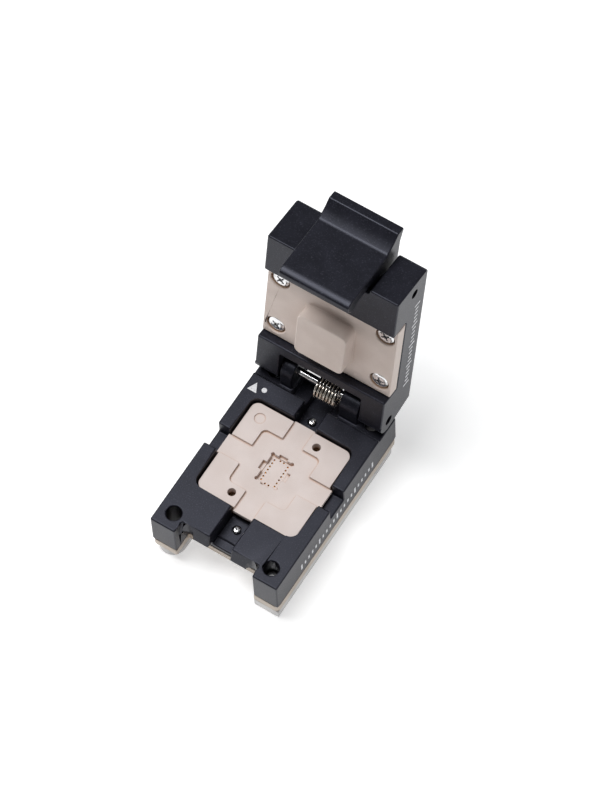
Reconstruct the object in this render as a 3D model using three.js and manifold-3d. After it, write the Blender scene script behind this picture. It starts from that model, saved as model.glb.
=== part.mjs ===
// Clamshell test and programming socket for a small leadless chip package.
// Millimetres, +Z up. The seating plane is z = 0 and pieces are drawn about the centre of the base.
// The lid hinge runs along X at the back. The lid is drawn closed and then swung open.
import * as THREE from 'three';
import { mergeVertices } from 'three/addons/utils/BufferGeometryUtils.js';
import Module from 'manifold-3d';

const wasm = await Module();
wasm.setup();

// Base stack
const BASE_HALF_X = 9;
const BASE_HALF_Y = 13.5;
const COVER_TOP = 1.4;
const PIN_PLATE_TOP = 2.6;
const BASE_TOP = 8;
const HINGE_SHELF_TOP = 7.7;
const HINGE_SHELF_Y = 9.7;
const CHANNEL_FLOOR = 5.4;
const CHANNEL_HALF = 1.55;
const CHANNEL_SCREW_YS = [-8.4, 8.61];
const SPRING_BAY_FLOOR = 6.6;
const WELL_FLOOR = 4.75;
const NOTCH_FLOOR = 5.9;
const NOTCH_HALF = 1.5;

// Chip position and window
const CHIP_Y = 0.1;
const WINDOW_HALF = 7.25;
const WINDOW_HALF_Y = 6.95;
const WINDOW_CORNER = 1.2;

// Latch recess in the front of the base
const RECESS_HALF = 5.5;
const RECESS_CORNER_R = 0.95;
const RECESS_CORNER_X = 4.57;
const RECESS_CORNER_Y = -12.7;
const RAMP_TOP_Y = -11.77;
const RAMP_FOOT_Y = -12.41;
const CATCH_UNDERSIDE = 5.8;
const CATCH_BACK = -11.4;
const LIP_UNDERSIDE = 4.6;
const RECESS_BACK = -10.2;
const PIN_PLATE_FRONT = -10.75;

// Corner holes
const CORNER_X = 6.93;
const CORNER_Y = 11.38;
const CORNER_HOLE_R = 0.95;
const CLAMP_SEAT = 4.5;
const CLAMP_SHAFT_R = 0.5;

// Floating nest
const NEST_HALF_X = 7;
const NEST_HALF_Y = 6.75;
const ARM_END_X = 7.38;
const ARM_END_Y = 7.05;
const ARM_UNDERSIDE = 6.35;
const NEST_CORNER = 1;
const NEST_BOTTOM = 5.3;
const NEST_FLOOR = 6.82;
const NEST_TOP = 7.2;
const POCKET_FLOOR = 6.2;
const POCKET_HALF_X = 1.45;
const POCKET_HALF_Y = 1.95;
const ARM_HALF = 1.43;
const CENTRE_HALF = 4.1;
const NEST_SCREW_X = 2.76;
const NEST_SCREW_Y = 5.2;
const NEST_SPRING_X = 5.1;
const NEST_SPRING_Y = 3.3;

// Contacts
const PITCH = 0.5;
const SIDE_CONTACTS = 7;
const SIDE_ROW_X = 0.96;
const END_ROW_Y = 1.75;
const BARREL_R = 0.17;
const BORE_R = 0.125;
const PLUNGER_R = 0.1;

// Hinge and lid
const HINGE_Y = 11.85;
const HINGE_Z = 9.95;
const HINGE_PIN_R = 0.5;
const HINGE_BORE_R = 0.55;
const KNUCKLE_R = 1.65;
const KNUCKLES = [[-5.6, -3.85], [2.85, 5.5]];
const SPRING_R = 1.26;
const SPRING_WIRE_R = 0.14;
const SPRING_Y = 11.3;
const SPRING_Z = 9.85;
const SPRING_LEFT = -0.83;
const SPRING_RIGHT = 2.35;
const LID_OPEN_DEG = 100;
const LID_UNDERSIDE = 8.15;
const LID_TOP = 14.95;
const LID_FRONT = -13.25;
const LID_WEB = 11;
const LID_KNUCKLE_R = 1.8;
const LID_CUT_HALF = 5.75;
const LID_CUT_FRONT = 8.05;
const FREE_BLOCK_BACK = -6.75;
const HINGE_BLOCK_FRONT = 6.5;

// Pressure plate
const PLATE_BOTTOM = 9.25;
const PLATE_GAP = 0.05;
const PUSHER_Y = 0.25;
const PUSHER_HALF_X = 3.4;
const PUSHER_HALF_Y = 3.6;
const PUSHER_CORNER = 0.85;
const PUSHER_BOTTOM = 7;
const PLATE_SCREW_X = 7.3;
const PLATE_SCREW_YS = [-4.5, 4.42];
const SCREW_HEAD_R = 1.2;
const SCREW_SEAT_R = 1.32;
const SCREW_SHAFT_R = 0.65;

// Latch
const LATCH_Y = -11.25;
const LATCH_Z = 12.15;
const LATCH_HALF = 4.78;
const SLOT_HALF = 5.1;
const SLOT_BACK = -8.75;
const SLOT_FLOOR = 8.85;
const SLOT_MOUTH = -12.6;
const LATCH_PIN_R = 0.5;
const LATCH_SPRING_X = 2.6;
const LATCH_SPRING_Z = 13.75;

const REACH = 40;
const SIDES = [-1, 1];

const BLACK = { color: 0x24252b, roughness: 0.62, metalness: 0 };
const CREAM = { color: 0xe2d5cd, roughness: 0.5, metalness: 0 };
const PLATE_TAN = { color: 0xc9bbae, roughness: 0.5, metalness: 0 };
const MILKY = { color: 0xc8c9cb, roughness: 0.35, metalness: 0 };
const STEEL = { color: 0xc3c5c8, roughness: 0.25, metalness: 1 };
const GOLD = { color: 0xd8b25a, roughness: 0.25, metalness: 1 };

const part = new THREE.Group();
part.name = 'clamshell_test_socket';

/** Turns a closed three.js geometry into a manifold solid. */
function solid(geometry) {
  const bare = geometry.clone();
  bare.deleteAttribute('normal');
  bare.deleteAttribute('uv');
  const merged = mergeVertices(bare, 1e-5);
  return new wasm.Manifold(new wasm.Mesh({
    numProp: 3,
    vertProperties: new Float32Array(merged.attributes.position.array),
    triVerts: new Uint32Array(merged.index.array),
  }));
}

/** Takes every cutter away from a body and returns the geometry that is left. */
function cut(body, cutters) {
  let result = solid(body);
  for (const cutter of cutters) {
    result = result.subtract(solid(cutter));
  }
  return geometryOf(result);
}

/** Joins several bodies into one. */
function join(bodies) {
  let result = solid(bodies[0]);
  for (const body of bodies.slice(1)) {
    result = result.add(solid(body));
  }
  return geometryOf(result);
}

/** Turns a manifold solid back into a flat-shaded geometry. */
function geometryOf(manifold) {
  const mesh = manifold.getMesh();
  const geometry = new THREE.BufferGeometry();
  geometry.setAttribute('position', new THREE.BufferAttribute(new Float32Array(mesh.vertProperties), 3));
  geometry.setIndex(new THREE.BufferAttribute(new Uint32Array(mesh.triVerts), 1));
  const flat = geometry.toNonIndexed();
  flat.computeVertexNormals();
  return flat;
}

/** Box between two corners. */
function box(x0, x1, y0, y1, z0, z1) {
  const geometry = new THREE.BoxGeometry(x1 - x0, y1 - y0, z1 - z0);
  return geometry.translate((x0 + x1) / 2, (y0 + y1) / 2, (z0 + z1) / 2);
}

/** Prism of an XY shape between two heights. */
function prism(shape, z0, z1, curveSegments = 6) {
  const options = { depth: z1 - z0, bevelEnabled: false, curveSegments };
  return new THREE.ExtrudeGeometry(shape, options).translate(0, 0, z0);
}

/** Prism of a YZ shape between two x positions. */
function slab(shape, x0, x1, curveSegments = 6) {
  const options = { depth: x1 - x0, bevelEnabled: false, curveSegments };
  const basis = new THREE.Matrix4().makeBasis(
    new THREE.Vector3(0, 1, 0),
    new THREE.Vector3(0, 0, 1),
    new THREE.Vector3(1, 0, 0),
  );
  return new THREE.ExtrudeGeometry(shape, options).applyMatrix4(basis).translate(x0, 0, 0);
}

/** Upright round bar. */
function post(x, y, z0, z1, radius, sides = 20) {
  const bar = new THREE.CylinderGeometry(radius, radius, z1 - z0, sides);
  return bar.rotateX(Math.PI / 2).translate(x, y, (z0 + z1) / 2);
}

/** Round bar along X. */
function bar(x0, x1, y, z, radius, sides = 24) {
  const rod = new THREE.CylinderGeometry(radius, radius, x1 - x0, sides);
  return rod.rotateZ(Math.PI / 2).translate((x0 + x1) / 2, y, z);
}

/** Closed shape through a list of points. */
function outline(points) {
  return new THREE.Shape(points.map(([a, b]) => new THREE.Vector2(a, b)));
}

/** Rectangle with four rounded corners. */
function roundedRectangle(cx, cy, halfX, halfY, radius) {
  const shape = new THREE.Shape();
  const left = cx - halfX;
  const right = cx + halfX;
  const front = cy - halfY;
  const back = cy + halfY;
  shape.moveTo(left + radius, front);
  shape.lineTo(right - radius, front);
  shape.absarc(right - radius, front + radius, radius, -Math.PI / 2, 0, false);
  shape.lineTo(right, back - radius);
  shape.absarc(right - radius, back - radius, radius, 0, Math.PI / 2, false);
  shape.lineTo(left + radius, back);
  shape.absarc(left + radius, back - radius, radius, Math.PI / 2, Math.PI, false);
  shape.lineTo(left, front + radius);
  shape.absarc(left + radius, front + radius, radius, Math.PI, Math.PI * 1.5, false);
  return shape;
}

/** Lathe about an upright axis; the profile starts and ends on the axis. */
function turned(profile, x, y, sides) {
  const points = profile.map(([r, z]) => new THREE.Vector2(r, z));
  return new THREE.LatheGeometry(points, sides).rotateX(Math.PI / 2).translate(x, y, 0);
}

/** Adds one named piece to the part. */
function add(name, geometry, finish) {
  const mesh = new THREE.Mesh(geometry, new THREE.MeshStandardMaterial(finish));
  mesh.name = name;
  part.add(mesh);
}

/** Swings a piece drawn on the closed lid to the open position. */
function swing(geometry) {
  geometry.translate(0, -HINGE_Y, -HINGE_Z);
  geometry.rotateX(THREE.MathUtils.degToRad(-LID_OPEN_DEG));
  return geometry.translate(0, HINGE_Y, HINGE_Z);
}

/** Cutters for the latch recess: a ramp down to the catch edge, the catch, and the round corners. */
function recessCutters() {
  const mouth = outline([
    [-REACH, -REACH], [RECESS_BACK, -REACH], [RECESS_BACK, LIP_UNDERSIDE], [CATCH_BACK, LIP_UNDERSIDE],
    [CATCH_BACK, CATCH_UNDERSIDE], [RAMP_FOOT_Y, CATCH_UNDERSIDE], [RAMP_TOP_Y, BASE_TOP],
    [RAMP_TOP_Y, REACH], [-REACH, REACH],
  ]);
  const corners = SIDES.map((side) => (
    post(side * RECESS_CORNER_X, RECESS_CORNER_Y, -REACH, REACH, RECESS_CORNER_R, 28)
  ));
  return [slab(mouth, -RECESS_HALF, RECESS_HALF), ...corners];
}

/** Through holes on one diagonal and clamp screw holes on the other. */
function cornerCutters() {
  const cutters = [];
  for (const side of SIDES) {
    cutters.push(post(side * CORNER_X, side * CORNER_Y, -REACH, REACH, CORNER_HOLE_R));
    cutters.push(post(side * CORNER_X, -side * CORNER_Y, CLAMP_SEAT, REACH, CORNER_HOLE_R));
    cutters.push(post(side * CORNER_X, -side * CORNER_Y, -REACH, REACH, CLAMP_SHAFT_R + 0.1, 16));
  }
  return cutters;
}

/** Chip contact positions, two long rows and two short rows. */
function contactPositions() {
  const positions = [];
  for (const side of SIDES) {
    for (let i = 0; i < SIDE_CONTACTS; i += 1) {
      positions.push([side * SIDE_ROW_X, CHIP_Y + (i - (SIDE_CONTACTS - 1) / 2) * PITCH]);
    }
  }
  for (const end of SIDES) {
    for (const side of SIDES) {
      positions.push([side * PITCH / 2, CHIP_Y + end * END_ROW_Y]);
    }
  }
  return positions;
}

/** Black moulded frame that carries the nest, the catch and the hinge knuckles. */
function buildBaseFrame() {
  const bodies = [box(-BASE_HALF_X, BASE_HALF_X, -BASE_HALF_Y, BASE_HALF_Y, PIN_PLATE_TOP, BASE_TOP)];
  const shelfRuns = [];
  let runStart = -REACH;
  for (const [x0, x1] of KNUCKLES) {
    bodies.push(bar(x0, x1, HINGE_Y, HINGE_Z, KNUCKLE_R, 32));
    bodies.push(box(x0, x1, HINGE_Y - KNUCKLE_R, HINGE_Y + KNUCKLE_R, HINGE_SHELF_TOP - 1, HINGE_Z));
    shelfRuns.push([runStart, x0]);
    runStart = x1;
  }
  shelfRuns.push([runStart, REACH]);
  const shelf = shelfRuns.map(([x0, x1]) => box(x0, x1, HINGE_SHELF_Y, REACH, HINGE_SHELF_TOP, REACH));
  for (const [x0, x1] of KNUCKLES) {
    const top = BASE_TOP + 0.2;
    shelf.push(box(x0 - 0.01, x1 + 0.01, HINGE_SHELF_Y, HINGE_Y - KNUCKLE_R, HINGE_SHELF_TOP, top));
    shelf.push(box(x0 - 0.01, x1 + 0.01, HINGE_Y + KNUCKLE_R, REACH, HINGE_SHELF_TOP, top));
  }
  const springBay = [KNUCKLES[0][1] + 0.2, KNUCKLES[1][0] - 0.2];
  const window = roundedRectangle(0, CHIP_Y, WINDOW_HALF, WINDOW_HALF_Y, WINDOW_CORNER);
  const cutters = [
    ...shelf,
    prism(window, WELL_FLOOR, REACH),
    box(-2.4, 2.4, CHIP_Y - 3, CHIP_Y + 3, -REACH, REACH),
    box(-CHANNEL_HALF, CHANNEL_HALF, -REACH, CHIP_Y - 1, CHANNEL_FLOOR, REACH),
    box(-CHANNEL_HALF, CHANNEL_HALF, CHIP_Y + 1, REACH, CHANNEL_FLOOR, REACH),
    box(springBay[0], springBay[1], HINGE_SHELF_Y, REACH, SPRING_BAY_FLOOR, REACH),
    box(-REACH, REACH, CHIP_Y - NOTCH_HALF, CHIP_Y + NOTCH_HALF, NOTCH_FLOOR, REACH),
    box(-CHANNEL_HALF, CHANNEL_HALF, CATCH_BACK, RECESS_BACK, CHANNEL_FLOOR - 0.06, REACH),
    ...recessCutters(),
    ...cornerCutters(),
    bar(-REACH, REACH, HINGE_Y, HINGE_Z, HINGE_PIN_R + 0.03),
  ];
  for (const y of CHANNEL_SCREW_YS) {
    cutters.push(post(0, y, 5.1, REACH, 0.65));
    cutters.push(post(0, y, -REACH, REACH, 0.42, 16));
  }
  for (const end of SIDES) {
    cutters.push(post(end * NEST_SCREW_X, CHIP_Y + end * NEST_SCREW_Y, 2.9, REACH, 0.36, 16));
    cutters.push(post(end * NEST_SPRING_X, CHIP_Y - end * NEST_SPRING_Y, 3.7, REACH, 0.8, 20));
  }
  add('base_frame', cut(join(bodies), cutters), BLACK);
}

/** Plan of the lower plates: the base outline with rounded corners and a latch recess. */
function lowerOutline(cornerRadius) {
  return roundedRectangle(0, 0, BASE_HALF_X, BASE_HALF_Y, cornerRadius);
}

/** Cream plate under the frame; its raised block holds the contact barrels. */
function buildPinPlate() {
  const bodies = [
    prism(lowerOutline(0.6), COVER_TOP, PIN_PLATE_TOP),
    box(-2.3, 2.3, CHIP_Y - 2.9, CHIP_Y + 2.9, COVER_TOP + 0.2, 4.5),
  ];
  const cutters = [
    box(-RECESS_HALF, RECESS_HALF, -REACH, PIN_PLATE_FRONT, -REACH, REACH),
    ...cornerCutters(),
  ];
  for (const [x, y] of contactPositions()) {
    cutters.push(post(x, y, -REACH, REACH, BARREL_R + 0.02, 8));
  }
  for (const y of CHANNEL_SCREW_YS) {
    cutters.push(post(0, y, -REACH, REACH, 0.42, 16));
  }
  add('pin_plate', cut(join(bodies), cutters), CREAM);
}

/** Milky guard plate at the bottom, open under the contacts; one leg ends round, the other square. */
function buildBottomCover() {
  const legHalf = (BASE_HALF_X - RECESS_HALF) / 2;
  const legX = RECESS_HALF + legHalf;
  const legEnd = -BASE_HALF_Y + legHalf;
  const backCorner = 1.6;
  const midY = (legEnd + BASE_HALF_Y) / 2;
  const backPlan = roundedRectangle(0, midY, BASE_HALF_X, BASE_HALF_Y - midY, backCorner);
  const frontPlan = box(-BASE_HALF_X, BASE_HALF_X, legEnd, 0, 0, COVER_TOP);
  const cutters = [
    box(-RECESS_HALF, RECESS_HALF, -REACH, RECESS_BACK, -REACH, REACH),
    prism(roundedRectangle(0, CHIP_Y, 2.5, 3, 0.4), -REACH, REACH),
    ...cornerCutters(),
  ];
  const legs = [
    post(-legX, legEnd, 0, COVER_TOP, legHalf),
    box(RECESS_HALF, BASE_HALF_X, -BASE_HALF_Y, legEnd, 0, COVER_TOP),
  ];
  for (const y of CHANNEL_SCREW_YS) {
    cutters.push(post(0, y, -REACH, REACH, 0.9, 16));
  }
  add('bottom_cover', cut(join([prism(backPlan, 0, COVER_TOP), frontPlan, ...legs]), cutters), MILKY);
}

/** Floating nest with four raised pads and the chip pocket. */
function buildNest() {
  const body = join([
    prism(roundedRectangle(0, CHIP_Y, NEST_HALF_X, NEST_HALF_Y, NEST_CORNER), NEST_BOTTOM, NEST_TOP),
    box(-ARM_END_X, ARM_END_X, CHIP_Y - ARM_HALF, CHIP_Y + ARM_HALF, ARM_UNDERSIDE, NEST_TOP),
    box(-ARM_HALF, ARM_HALF, CHIP_Y - ARM_END_Y, CHIP_Y + ARM_END_Y, ARM_UNDERSIDE, NEST_TOP),
  ]);
  const cutters = [
    prism(roundedRectangle(0, CHIP_Y, CENTRE_HALF, CENTRE_HALF, 0.7), NEST_FLOOR, REACH),
    box(-ARM_HALF, ARM_HALF, -REACH, REACH, NEST_FLOOR, REACH),
    box(-REACH, REACH, CHIP_Y - ARM_HALF, CHIP_Y + ARM_HALF, NEST_FLOOR, REACH),
    box(-POCKET_HALF_X, POCKET_HALF_X, CHIP_Y - POCKET_HALF_Y, CHIP_Y + POCKET_HALF_Y, POCKET_FLOOR, REACH),
    box(-POCKET_HALF_X - 0.5, POCKET_HALF_X + 0.5, CHIP_Y - 0.62, CHIP_Y + 0.62, POCKET_FLOOR + 0.1, REACH),
    box(-0.58, 0.58, CHIP_Y - POCKET_HALF_Y - 0.32, CHIP_Y + POCKET_HALF_Y + 0.32, POCKET_FLOOR + 0.1, REACH),
    post(-5.2, 5.05, NEST_TOP - 0.15, REACH, 0.72),
  ];
  for (const end of SIDES) {
    for (const side of SIDES) {
      const x = side * (POCKET_HALF_X - 0.08);
      cutters.push(post(x, CHIP_Y + end * (POCKET_HALF_Y - 0.08), POCKET_FLOOR, REACH, 0.24, 12));
    }
    cutters.push(post(end * NEST_SPRING_X, CHIP_Y - end * NEST_SPRING_Y, 0, 6.3, 0.8, 20));
    cutters.push(post(end * NEST_SCREW_X, CHIP_Y + end * NEST_SCREW_Y, 5.7, REACH, 0.53, 20));
    cutters.push(post(end * NEST_SCREW_X, CHIP_Y + end * NEST_SCREW_Y, 0, REACH, 0.36, 16));
  }
  for (const [x, y] of contactPositions()) {
    cutters.push(post(x, y, 0, REACH, PLUNGER_R + 0.03, 8));
  }
  add('floating_nest', cut(body, cutters), CREAM);
}

/** Contact barrels in the pin plate and the plungers that rise out of them. */
function buildContacts() {
  const barrel = [[0, 0.15], [0.07, 0.15], [0.1, 0.5], [0.1, 1.5], [BARREL_R, 1.6], [BARREL_R, 4.6],
    [BORE_R, 4.6], [BORE_R, 3.7], [0, 3.7]];
  const plunger = [[0, 4.2], [PLUNGER_R, 4.2], [PLUNGER_R, 6.02], [0.04, 6.1], [0, 6.1]];
  contactPositions().forEach(([x, y], i) => {
    const number = String(i + 1).padStart(2, '0');
    add(`contact_barrel_${number}`, turned(barrel, x, y, 8), GOLD);
    add(`contact_plunger_${number}`, turned(plunger, x, y, 7), GOLD);
  });
}

/** Small upright screw: a domed head over a plain shaft. */
function uprightScrew(x, y, { head, seat, bottom, headR, shaftR, dome }) {
  const profile = [
    [0, bottom], [shaftR, bottom], [shaftR, seat], [headR, seat], [headR, head - dome],
    [headR * 0.75, head - dome * 0.35], [headR * 0.35, head], [0, head],
  ];
  return turned(profile, x, y, 20);
}

/** Screws that stand in the base, each size used twice. */
function buildBaseScrews() {
  const channel = { head: 5.75, seat: 5.13, bottom: 1.6, headR: 0.5, shaftR: 0.35, dome: 0.35 };
  const nest = { head: 6.15, seat: 5.74, bottom: 3, headR: 0.48, shaftR: 0.3, dome: 0.15 };
  const clamp = { head: 5.5, seat: 4.55, bottom: 0.3, headR: 0.85, shaftR: CLAMP_SHAFT_R, dome: 0.35 };
  const nestY = NEST_SCREW_Y;
  add('channel_screw_front', uprightScrew(0, CHANNEL_SCREW_YS[0], channel), STEEL);
  add('channel_screw_back', uprightScrew(0, CHANNEL_SCREW_YS[1], channel), STEEL);
  add('nest_screw_front', uprightScrew(-NEST_SCREW_X, CHIP_Y - nestY, nest), STEEL);
  add('nest_screw_back', uprightScrew(NEST_SCREW_X, CHIP_Y + nestY, nest), STEEL);
  add('clamp_screw_front', uprightScrew(CORNER_X, -CORNER_Y, clamp), STEEL);
  add('clamp_screw_back', uprightScrew(-CORNER_X, CORNER_Y, clamp), STEEL);
}

/** Helix swept with a round wire. The axis is upright; the caller turns it. */
function coil(radius, wireR, turns, height) {
  const stepsPerTurn = 9;
  const points = [];
  const steps = Math.round(turns * stepsPerTurn);
  for (let i = 0; i <= steps; i += 1) {
    const angle = (i / stepsPerTurn) * Math.PI * 2;
    const z = (i / steps - 0.5) * height;
    points.push(new THREE.Vector3(radius * Math.cos(angle), radius * Math.sin(angle), z));
  }
  return sweepWire(points, wireR);
}

/** Sweeps a five-sided wire along a smooth line through the points. */
function sweepWire(points, wireR) {
  const sides = 5;
  const corners = [];
  for (let i = 0; i < sides; i += 1) {
    const angle = (i / sides) * Math.PI * 2;
    corners.push([wireR * Math.cos(angle), wireR * Math.sin(angle)]);
  }
  const path = new THREE.CatmullRomCurve3(points);
  const options = { steps: points.length - 1, extrudePath: path, bevelEnabled: false };
  return new THREE.ExtrudeGeometry(outline(corners), options);
}

/** Compression springs under the nest and behind the latch. */
function buildSprings() {
  for (const side of SIDES) {
    const spring = coil(0.5, 0.1, 5, 2.3);
    spring.translate(side * NEST_SPRING_X, CHIP_Y - side * NEST_SPRING_Y, 5.05);
    add(`nest_spring_${side < 0 ? 'left' : 'right'}`, spring, STEEL);
  }
  for (const side of SIDES) {
    const spring = coil(0.42, 0.09, 5, 2);
    spring.rotateX(Math.PI / 2);
    spring.translate(side * LATCH_SPRING_X, -9.35, LATCH_SPRING_Z);
    add(`latch_spring_${side < 0 ? 'left' : 'right'}`, swing(spring), STEEL);
  }
}

/** Hinge pin and the loose torsion spring round it. */
function buildHinge() {
  add('hinge_pin', bar(-8.3, 8.3, HINGE_Y, HINGE_Z, HINGE_PIN_R), STEEL);
  const points = [];
  const turns = 7.25;
  const stepsPerTurn = 12;
  const steps = Math.round(turns * stepsPerTurn);
  const foot = SPRING_Z - SPRING_R;
  points.push(new THREE.Vector3(SPRING_LEFT - 0.2, SPRING_Y + 1.5, foot - 0.06));
  points.push(new THREE.Vector3(SPRING_LEFT - 0.1, SPRING_Y + 0.8, foot - 0.02));
  for (let i = 0; i <= steps; i += 1) {
    const angle = -Math.PI / 2 - (i / stepsPerTurn) * Math.PI * 2;
    const x = SPRING_LEFT + (i / steps) * (SPRING_RIGHT - SPRING_LEFT);
    const y = SPRING_Y + SPRING_R * Math.cos(angle);
    points.push(new THREE.Vector3(x, y, SPRING_Z + SPRING_R * Math.sin(angle)));
  }
  points.push(new THREE.Vector3(SPRING_RIGHT + 0.1, SPRING_Y - SPRING_R, SPRING_Z + 0.6));
  points.push(new THREE.Vector3(SPRING_RIGHT + 0.15, SPRING_Y - SPRING_R + 0.15, SPRING_Z + 1.2));
  add('torsion_spring', sweepWire(points, SPRING_WIRE_R), STEEL);
}

/** Lid: hinge block, web over the plate and free end block, all one moulding. */
function buildLidFrame() {
  const profile = new THREE.Shape();
  profile.moveTo(LID_FRONT, LID_UNDERSIDE);
  profile.lineTo(FREE_BLOCK_BACK, LID_UNDERSIDE);
  profile.lineTo(FREE_BLOCK_BACK, LID_WEB);
  profile.lineTo(HINGE_BLOCK_FRONT, LID_WEB);
  profile.lineTo(HINGE_BLOCK_FRONT, LID_UNDERSIDE);
  profile.lineTo(HINGE_Y, HINGE_Z - LID_KNUCKLE_R);
  profile.absarc(HINGE_Y, HINGE_Z, LID_KNUCKLE_R, -Math.PI / 2, 0.1, false);
  profile.lineTo(13.3, 12.15);
  profile.lineTo(12.5, LID_TOP);
  profile.lineTo(LID_FRONT + 0.35, LID_TOP);
  profile.lineTo(LID_FRONT, LID_TOP - 0.35);
  const body = slab(profile, -BASE_HALF_X, BASE_HALF_X, 12);
  const cutters = [
    box(-LID_CUT_HALF, LID_CUT_HALF, LID_CUT_FRONT, REACH, -REACH, HINGE_Z + 2.4),
    box(-SLOT_HALF, SLOT_HALF, -REACH, SLOT_BACK, SLOT_FLOOR, REACH),
    box(-SLOT_HALF, SLOT_HALF, -REACH, SLOT_MOUTH, -REACH, REACH),
    bar(-REACH, REACH, HINGE_Y, HINGE_Z, HINGE_BORE_R),
    bar(-REACH, REACH, LATCH_Y, LATCH_Z, LATCH_PIN_R + 0.03),
  ];
  for (const side of SIDES) {
    const x0 = Math.min(side * 8.35, side * REACH);
    const x1 = Math.max(side * 8.35, side * REACH);
    cutters.push(bar(x0, x1, HINGE_Y, HINGE_Z, 0.7));
    cutters.push(bar(x0, x1, LATCH_Y, LATCH_Z, 0.65));
    const well = new THREE.CylinderGeometry(0.65, 0.65, 1.4, 20);
    cutters.push(well.translate(side * LATCH_SPRING_X, SLOT_BACK, LATCH_SPRING_Z));
    for (const y of PLATE_SCREW_YS) {
      cutters.push(post(side * PLATE_SCREW_X, y, 0, 13.2, SCREW_SHAFT_R + 0.03, 20));
    }
  }
  add('lid_frame', swing(cut(body, cutters)), BLACK);
}

/** Pressure plate with the pusher block, screwed under the lid web. */
function buildPressurePlate() {
  const front = FREE_BLOCK_BACK + PLATE_GAP;
  const back = HINGE_BLOCK_FRONT - PLATE_GAP;
  const pusherPlan = roundedRectangle(0, PUSHER_Y, PUSHER_HALF_X, PUSHER_HALF_Y, PUSHER_CORNER);
  const bodies = [
    box(-BASE_HALF_X, BASE_HALF_X, front, back, PLATE_BOTTOM, LID_WEB - PLATE_GAP),
    prism(pusherPlan, PUSHER_BOTTOM, PLATE_BOTTOM + 0.2),
  ];
  const cutters = [];
  for (const side of SIDES) {
    for (const y of PLATE_SCREW_YS) {
      cutters.push(post(side * PLATE_SCREW_X, y, 0, PLATE_BOTTOM + 0.9, SCREW_SEAT_R));
      cutters.push(post(side * PLATE_SCREW_X, y, 0, REACH, SCREW_SHAFT_R + 0.05, 20));
    }
  }
  add('pressure_plate', swing(cut(join(bodies), cutters)), PLATE_TAN);
}

/** Cross-recessed pan head screw pointing up into the lid. */
function plateScrew(x, y) {
  const head = PLATE_BOTTOM + 0.12;
  const seat = PLATE_BOTTOM + 0.85;
  const profile = [[0, head], [SCREW_HEAD_R * 0.6, head], [SCREW_HEAD_R * 0.9, head + 0.15],
    [SCREW_HEAD_R, head + 0.35], [SCREW_HEAD_R, seat], [SCREW_SHAFT_R, seat], [SCREW_SHAFT_R, 13], [0, 13]];
  const cutters = [
    box(x - 0.62, x + 0.62, y - 0.13, y + 0.13, head - 1, head + 0.4),
    box(x - 0.13, x + 0.13, y - 0.62, y + 0.62, head - 1, head + 0.4),
  ];
  return cut(turned(profile, x, y, 24), cutters);
}

/** The four screws that hold the pressure plate. */
function buildPlateScrews() {
  for (const side of SIDES) {
    PLATE_SCREW_YS.forEach((y, i) => {
      const name = `plate_screw_${i === 0 ? 'front' : 'back'}_${side < 0 ? 'left' : 'right'}`;
      add(name, swing(plateScrew(side * PLATE_SCREW_X, y)), STEEL);
    });
  }
}

/** Latch lever: finger tab above the pivot and a hook below it. */
function buildLatch() {
  const lever = outline([
    [-12.1, 15.2], [-12.75, 15.25], [-15.0, 15.3], [-16.2, 15.65], [-16.6, 15.8], [-16.95, 15.75],
    [-17.02, 14.5], [-16.2, 13.75], [-15.7, 13.1], [-15.35, 12.6], [-15.1, 12.2],
    [-14.73, 4.8], [-14.5, 4.2], [-14.2, 3.8], [-13.45, 3.8], [-12.55, 4.7], [-12.55, 5.6],
    [-13.0, 5.65], [-13.15, 5.85], [-13.15, 8.6], [-12.9, 9.1], [-12.2, 9.2], [-9.9, 9.2],
    [-9.45, 9.7], [-9.45, 14.3], [-9.9, 14.8], [-11.2, 14.95],
  ]);
  const body = slab(lever, -LATCH_HALF, LATCH_HALF);
  const cutters = [bar(-REACH, REACH, LATCH_Y, LATCH_Z, LATCH_PIN_R + 0.05)];
  for (const side of SIDES) {
    const well = new THREE.CylinderGeometry(0.65, 0.65, 2, 20);
    cutters.push(well.translate(side * LATCH_SPRING_X, -9.5, LATCH_SPRING_Z));
  }
  add('latch', swing(cut(body, cutters)), BLACK);
  add('latch_pin', swing(bar(-8.3, 8.3, LATCH_Y, LATCH_Z, LATCH_PIN_R)), STEEL);
}

buildBaseFrame();
buildPinPlate();
buildBottomCover();
buildNest();
buildContacts();
buildBaseScrews();
buildSprings();
buildHinge();
buildLidFrame();
buildPressurePlate();
buildPlateScrews();
buildLatch();

// The origin is the centre of the plan extent with the lid open, on the seating plane.
const extent = new THREE.Box3().setFromObject(part);
const shift = -(extent.min.y + extent.max.y) / 2;
for (const mesh of part.children) {
  mesh.geometry.translate(0, shift, 0);
}

export default part;
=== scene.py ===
"""Looks of a clamshell chip test socket: black frame, cream nest, steel springs and screws.

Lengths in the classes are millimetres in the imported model's frame; meshes are made in metres.
"""

import logging
import math
from dataclasses import dataclass, field
from enum import Enum
from typing import Any, Iterable, Sequence

import bmesh
import bpy
from mathutils import Matrix, Vector

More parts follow.
